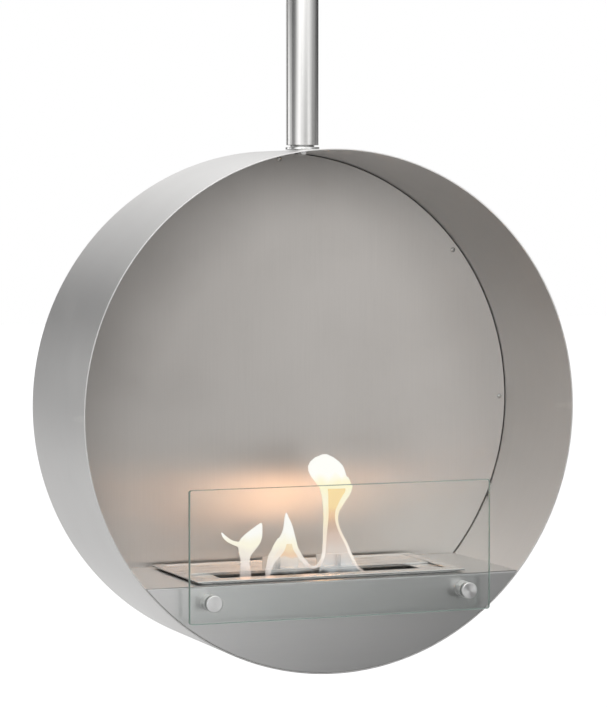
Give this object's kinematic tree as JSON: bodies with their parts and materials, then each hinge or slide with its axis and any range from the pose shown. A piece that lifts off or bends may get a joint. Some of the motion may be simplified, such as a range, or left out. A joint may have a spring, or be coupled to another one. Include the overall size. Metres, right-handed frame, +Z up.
{
  "type": "hanging fireplace",
  "caption": "Open round steel drum on a ceiling tube, with a hearth shelf, a drop-in burner under a sliding lid, and a low glass screen.",
  "frame": {"origin": "centre of the ceiling plate's upper face, on the axis of the suspension tube", "axes": "+Z up, out of the ceiling plate into the ceiling; -Y towards the open front of the drum; +X to the right seen from the front"},
  "size_m": [0.6, 0.2301, 1],
  "materials": {
    "drum_steel": "fine brushed stainless sheet, satin",
    "panel_steel": "satin stainless sheet",
    "hearth_steel": "brushed stainless sheet, satin",
    "burner_steel": "brushed stainless sheet, satin",
    "tube_steel": "ground stainless tube, half gloss",
    "polished_steel": "turned and polished stainless",
    "zinc_steel": "zinc-plated steel",
    "blackened_steel": "matt black heat-resistant paint",
    "tank_steel": "plain stainless sheet",
    "screen_glass": "clear tempered glass with polished edges",
    "gasket": "matt black washer",
    "ceramic_wool": "off-white ceramic fibre"
  },
  "bodies": {
    "suspension": {"ceiling_plate": "zinc_steel", "ceiling_rose": "tube_steel", "rose_grub_screw": "zinc_steel", "tube_locking_screw": "zinc_steel", "suspension_tube": "tube_steel", "tube_end_plug": "zinc_steel", "swivel_neck": "polished_steel", "swivel_flange": "polished_steel", "swivel_bolt": "polished_steel"},
    "drum": {"drum_shell": "drum_steel", "back_panel": "panel_steel", "back_mounting_ring": "blackened_steel", "back_panel_screw_1": "zinc_steel", "back_panel_screw_2": "zinc_steel", "back_panel_screw_3": "zinc_steel", "back_panel_screw_4": "zinc_steel", "back_panel_screw_5": "zinc_steel", "back_panel_screw_6": "zinc_steel", "back_panel_screw_7": "zinc_steel", "hearth_sheet": "hearth_steel", "hearth_bracket_left": "hearth_steel", "hearth_bracket_right": "hearth_steel", "glass_screen": "screen_glass", "standoff_barrel_left": "polished_steel", "standoff_barrel_right": "polished_steel", "standoff_rear_gasket_left": "gasket", "standoff_rear_gasket_right": "gasket", "standoff_front_gasket_left": "gasket", "standoff_front_gasket_right": "gasket", "standoff_cap_left": "polished_steel", "standoff_cap_right": "polished_steel", "standoff_nut_left": "zinc_steel", "standoff_nut_right": "zinc_steel"},
    "burner": {"burner_frame": "burner_steel", "burner_deck": "burner_steel", "burner_tank": "tank_steel", "fibre_block": "ceramic_wool"},
    "lid": {"burner_lid": "burner_steel", "lid_post_left": "polished_steel", "lid_post_right": "polished_steel", "lid_grip_left": "burner_steel", "lid_grip_right": "burner_steel"}
  },
  "joints": [
    {"name": "drum_swivel", "type": "hinge", "parent": "suspension", "child": "drum", "pos_m": [0, 0, -0.39], "axis": [0, 0, 1], "continuous": true},
    {"name": "burner_lift", "type": "slide", "parent": "drum", "child": "burner", "axis": [0, 0, 1], "range_m": [0, 0.165]},
    {"name": "lid_slide", "type": "slide", "parent": "burner", "child": "lid", "axis": [0, -1, 0], "range_m": [0, 0.0525]}
  ]
}
